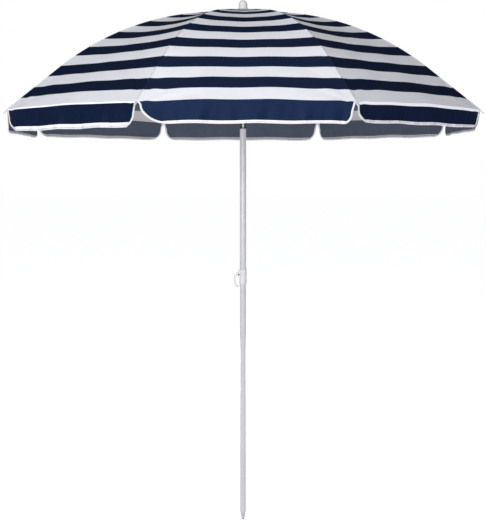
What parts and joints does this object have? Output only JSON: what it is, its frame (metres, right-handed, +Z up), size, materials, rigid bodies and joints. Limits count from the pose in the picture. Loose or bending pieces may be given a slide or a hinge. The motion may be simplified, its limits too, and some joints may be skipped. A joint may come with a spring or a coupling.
{
  "type": "beach umbrella",
  "caption": "Beach umbrella with a striped octagonal canopy and valance on folding ribs, a tilt joint, and a telescopic pole with a cam-lever clamp and a pointed ground tip.",
  "frame": {"origin": "the lowest point of the ground tip, on the pole axis", "axes": "+Z up along the pole, the cam lever is on the -X side, and the canopy tilts towards -Y about the X axis"},
  "size_m": [1.699, 1.699, 1.997],
  "materials": {
    "tube_paint": "white gloss powder coat",
    "white_plastic": "white moulded nylon",
    "grey_plastic": "grey moulded plastic",
    "finial_plastic": "light grey moulded plastic, satin",
    "black_plastic": "black moulded nylon",
    "pin_steel": "dark plated steel",
    "rivet_steel": "plated steel",
    "rib_paint": "white coated steel rod",
    "wire_steel": "zinc plated wire",
    "canopy_cloth": "white and navy striped woven polyester, matt",
    "cap_cloth": "white woven polyester patch"
  },
  "bodies": {
    "base_pole": {"ground_tip": "grey_plastic", "lower_tube": "tube_paint"},
    "top_pole": {"upper_tube": "tube_paint", "clamp_collar": "white_plastic", "lever_pin": "pin_steel", "tilt_clevis": "black_plastic", "tilt_rivet": "rivet_steel"},
    "clamp_arm": {"cam_lever": "white_plastic"},
    "tilt_push": {"tilt_button": "black_plastic"},
    "mast": {"tilt_tongue": "white_plastic", "mast_tube": "tube_paint", "crown_hub": "white_plastic", "crown_wire": "wire_steel", "canopy_cap": "cap_cloth", "finial": "finial_plastic"},
    "slider": {"runner": "white_plastic", "runner_wire": "wire_steel"},
    "rib_arm_1": {"rib_1": "rib_paint", "rib_tip_1": "white_plastic", "rib_clip_1": "rivet_steel", "canopy_gore_1": "canopy_cloth"},
    "stay_1": {"stretcher_1": "rib_paint"},
    "rib_arm_2": {"rib_2": "rib_paint", "rib_tip_2": "white_plastic", "rib_clip_2": "rivet_steel", "canopy_gore_2": "canopy_cloth"},
    "stay_2": {"stretcher_2": "rib_paint"},
    "rib_arm_3": {"rib_3": "rib_paint", "rib_tip_3": "white_plastic", "rib_clip_3": "rivet_steel", "canopy_gore_3": "canopy_cloth"},
    "stay_3": {"stretcher_3": "rib_paint"},
    "rib_arm_4": {"rib_4": "rib_paint", "rib_tip_4": "white_plastic", "rib_clip_4": "rivet_steel", "canopy_gore_4": "canopy_cloth"},
    "stay_4": {"stretcher_4": "rib_paint"},
    "rib_arm_5": {"rib_5": "rib_paint", "rib_tip_5": "white_plastic", "rib_clip_5": "rivet_steel", "canopy_gore_5": "canopy_cloth"},
    "stay_5": {"stretcher_5": "rib_paint"},
    "rib_arm_6": {"rib_6": "rib_paint", "rib_tip_6": "white_plastic", "rib_clip_6": "rivet_steel", "canopy_gore_6": "canopy_cloth"},
    "stay_6": {"stretcher_6": "rib_paint"},
    "rib_arm_7": {"rib_7": "rib_paint", "rib_tip_7": "white_plastic", "rib_clip_7": "rivet_steel", "canopy_gore_7": "canopy_cloth"},
    "stay_7": {"stretcher_7": "rib_paint"},
    "rib_arm_8": {"rib_8": "rib_paint", "rib_tip_8": "white_plastic", "rib_clip_8": "rivet_steel", "canopy_gore_8": "canopy_cloth"},
    "stay_8": {"stretcher_8": "rib_paint"}
  },
  "joints": [
    {"name": "pole_slide", "type": "slide", "parent": "base_pole", "child": "top_pole", "axis": [0, 0, 1], "range_m": [-0.38, 0]},
    {"name": "lever_turn", "type": "hinge", "parent": "top_pole", "child": "clamp_arm", "pos_m": [-0.0165, 0, 0.956], "axis": [0, 1, 0], "range_deg": [0, 90]},
    {"name": "tilt", "type": "hinge", "parent": "top_pole", "child": "mast", "pos_m": [0, 0, 1.525], "axis": [1, 0, 0], "range_deg": [0, 40]},
    {"name": "button_push", "type": "slide", "parent": "top_pole", "child": "tilt_push", "axis": [-1, 0, 0], "range_m": [0, 0.002], "stiffness_N_per_m": 400, "springref_m": -0.001},
    {"name": "runner_slide", "type": "slide", "parent": "mast", "child": "slider", "axis": [0, 0, 1], "range_m": [-0.4882, 0]},
    {"name": "rib_fold_1", "type": "hinge", "parent": "mast", "child": "rib_arm_1", "pos_m": [0.00765, -0.01848, 1.958], "axis": [0.9239, 0.3827, 0], "range_deg": [0, 63], "deforming": ["canopy_gore_1"]},
    {"name": "stay_turn_1", "type": "hinge", "parent": "rib_arm_1", "child": "stay_1", "pos_m": [0.15694, -0.37888, 1.87838], "axis": [-0.9239, -0.3827, 0], "range_deg": [0, 104.95]},
    {"name": "rib_fold_2", "type": "hinge", "parent": "mast", "child": "rib_arm_2", "pos_m": [0.01848, -0.00765, 1.958], "axis": [0.3827, 0.9239, 0], "range_deg": [0, 63], "deforming": ["canopy_gore_2"]},
    {"name": "stay_turn_2", "type": "hinge", "parent": "rib_arm_2", "child": "stay_2", "pos_m": [0.37888, -0.15694, 1.87838], "axis": [-0.3827, -0.9239, 0], "range_deg": [0, 104.95]},
    {"name": "rib_fold_3", "type": "hinge", "parent": "mast", "child": "rib_arm_3", "pos_m": [0.01848, 0.00765, 1.958], "axis": [-0.3827, 0.9239, 0], "range_deg": [0, 63], "deforming": ["canopy_gore_3"]},
    {"name": "stay_turn_3", "type": "hinge", "parent": "rib_arm_3", "child": "stay_3", "pos_m": [0.37888, 0.15694, 1.87838], "axis": [0.3827, -0.9239, 0], "range_deg": [0, 104.95]},
    {"name": "rib_fold_4", "type": "hinge", "parent": "mast", "child": "rib_arm_4", "pos_m": [0.00765, 0.01848, 1.958], "axis": [-0.9239, 0.3827, 0], "range_deg": [0, 63], "deforming": ["canopy_gore_4"]},
    {"name": "stay_turn_4", "type": "hinge", "parent": "rib_arm_4", "child": "stay_4", "pos_m": [0.15694, 0.37888, 1.87838], "axis": [0.9239, -0.3827, 0], "range_deg": [0, 104.95]},
    {"name": "rib_fold_5", "type": "hinge", "parent": "mast", "child": "rib_arm_5", "pos_m": [-0.00765, 0.01848, 1.958], "axis": [-0.9239, -0.3827, 0], "range_deg": [0, 63], "deforming": ["canopy_gore_5"]},
    {"name": "stay_turn_5", "type": "hinge", "parent": "rib_arm_5", "child": "stay_5", "pos_m": [-0.15694, 0.37888, 1.87838], "axis": [0.9239, 0.3827, 0], "range_deg": [0, 104.95]},
    {"name": "rib_fold_6", "type": "hinge", "parent": "mast", "child": "rib_arm_6", "pos_m": [-0.01848, 0.00765, 1.958], "axis": [-0.3827, -0.9239, 0], "range_deg": [0, 63], "deforming": ["canopy_gore_6"]},
    {"name": "stay_turn_6", "type": "hinge", "parent": "rib_arm_6", "child": "stay_6", "pos_m": [-0.37888, 0.15694, 1.87838], "axis": [0.3827, 0.9239, 0], "range_deg": [0, 104.95]},
    {"name": "rib_fold_7", "type": "hinge", "parent": "mast", "child": "rib_arm_7", "pos_m": [-0.01848, -0.00765, 1.958], "axis": [0.3827, -0.9239, 0], "range_deg": [0, 63], "deforming": ["canopy_gore_7"]},
    {"name": "stay_turn_7", "type": "hinge", "parent": "rib_arm_7", "child": "stay_7", "pos_m": [-0.37888, -0.15694, 1.87838], "axis": [-0.3827, 0.9239, 0], "range_deg": [0, 104.95]},
    {"name": "rib_fold_8", "type": "hinge", "parent": "mast", "child": "rib_arm_8", "pos_m": [-0.00765, -0.01848, 1.958], "axis": [0.9239, -0.3827, 0], "range_deg": [0, 63], "deforming": ["canopy_gore_8"]},
    {"name": "stay_turn_8", "type": "hinge", "parent": "rib_arm_8", "child": "stay_8", "pos_m": [-0.15694, -0.37888, 1.87838], "axis": [-0.9239, 0.3827, 0], "range_deg": [0, 104.95]}
  ],
  "couplings": [
    {"joint": "rib_fold_1", "follows": "runner_slide", "rad_per_m": -2.2523},
    {"joint": "stay_turn_1", "follows": "runner_slide", "rad_per_m": -3.7516},
    {"joint": "rib_fold_2", "follows": "runner_slide", "rad_per_m": -2.2523},
    {"joint": "stay_turn_2", "follows": "runner_slide", "rad_per_m": -3.7516},
    {"joint": "rib_fold_3", "follows": "runner_slide", "rad_per_m": -2.2523},
    {"joint": "stay_turn_3", "follows": "runner_slide", "rad_per_m": -3.7516},
    {"joint": "rib_fold_4", "follows": "runner_slide", "rad_per_m": -2.2523},
    {"joint": "stay_turn_4", "follows": "runner_slide", "rad_per_m": -3.7516},
    {"joint": "rib_fold_5", "follows": "runner_slide", "rad_per_m": -2.2523},
    {"joint": "stay_turn_5", "follows": "runner_slide", "rad_per_m": -3.7516},
    {"joint": "rib_fold_6", "follows": "runner_slide", "rad_per_m": -2.2523},
    {"joint": "stay_turn_6", "follows": "runner_slide", "rad_per_m": -3.7516},
    {"joint": "rib_fold_7", "follows": "runner_slide", "rad_per_m": -2.2523},
    {"joint": "stay_turn_7", "follows": "runner_slide", "rad_per_m": -3.7516},
    {"joint": "rib_fold_8", "follows": "runner_slide", "rad_per_m": -2.2523},
    {"joint": "stay_turn_8", "follows": "runner_slide", "rad_per_m": -3.7516}
  ]
}
